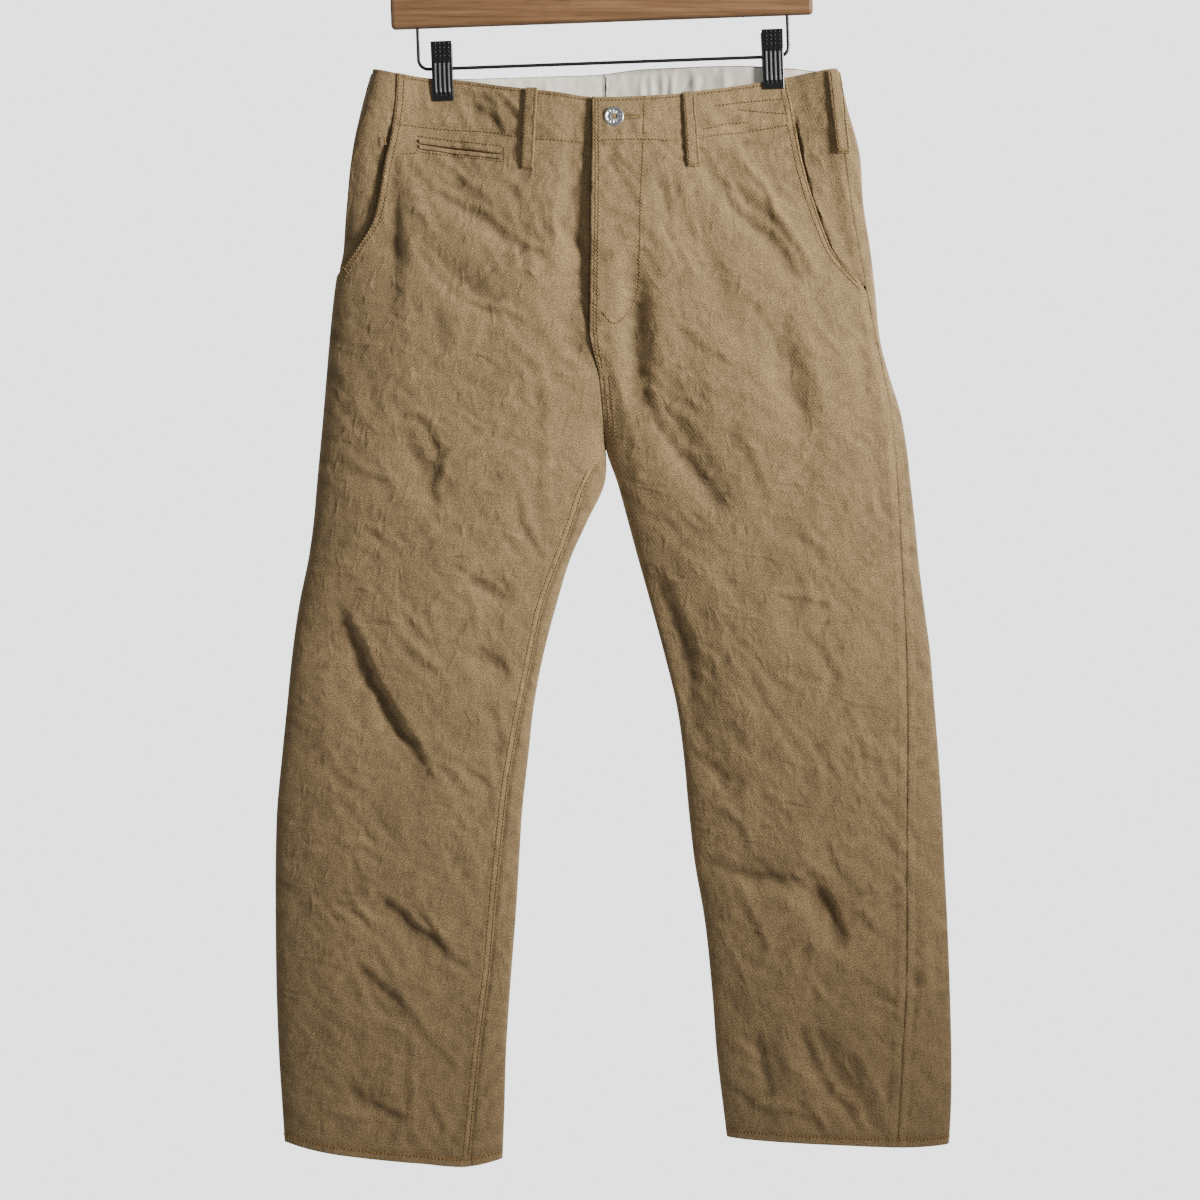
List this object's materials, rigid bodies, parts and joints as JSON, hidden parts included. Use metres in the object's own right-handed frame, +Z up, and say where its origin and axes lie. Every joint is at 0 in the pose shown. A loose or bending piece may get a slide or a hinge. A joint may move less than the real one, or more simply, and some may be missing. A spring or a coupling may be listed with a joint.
{
  "type": "chino trousers on a wooden clip hanger",
  "caption": "Straight-leg khaki twill trousers hung by the waist from a wooden hanger with a wire and two clips, open at the waist and both hems.",
  "frame": {"origin": "the point under the top of the hook where it hangs on its rail", "axes": "+Z up, +X towards the left leg as worn, +Y towards the back of the trousers"},
  "size_m": [0.6758, 0.0791, 1.262],
  "materials": {
    "twill": "washed khaki-tan cotton twill",
    "ecru_cotton": "plain woven ecru cotton",
    "dark_wood": "oiled walnut-brown wood",
    "black_plastic": "moulded black plastic",
    "black_wire": "black coated steel wire",
    "plated_steel": "plated steel",
    "button_metal": "worn silver-coloured button metal"
  },
  "bodies": {
    "root": {"front_panel_right": "twill", "front_panel_left": "twill", "back_panel_right": "twill", "back_panel_left": "twill", "pocket_bearing_right": "twill", "pocket_bearing_left": "twill", "fly_shield": "twill", "waist_facing_right": "ecru_cotton", "waist_facing_left": "ecru_cotton", "belt_loop_front_right": "twill", "belt_loop_front_left": "twill", "belt_loop_side_right": "twill", "belt_loop_side_left": "twill", "belt_loop_back": "twill", "coin_welt_upper": "twill", "coin_welt_lower": "twill", "waist_button": "button_metal", "hanger_bar": "dark_wood", "hanger_hook": "plated_steel", "hook_ferrule": "plated_steel", "hanger_wire": "black_wire", "clip_front_jaw_right": "black_plastic", "clip_back_jaw_right": "black_plastic", "clip_front_jaw_left": "black_plastic", "clip_back_jaw_left": "black_plastic", "clip_pin_right": "plated_steel", "clip_pin_left": "plated_steel"}
  },
  "joints": []
}
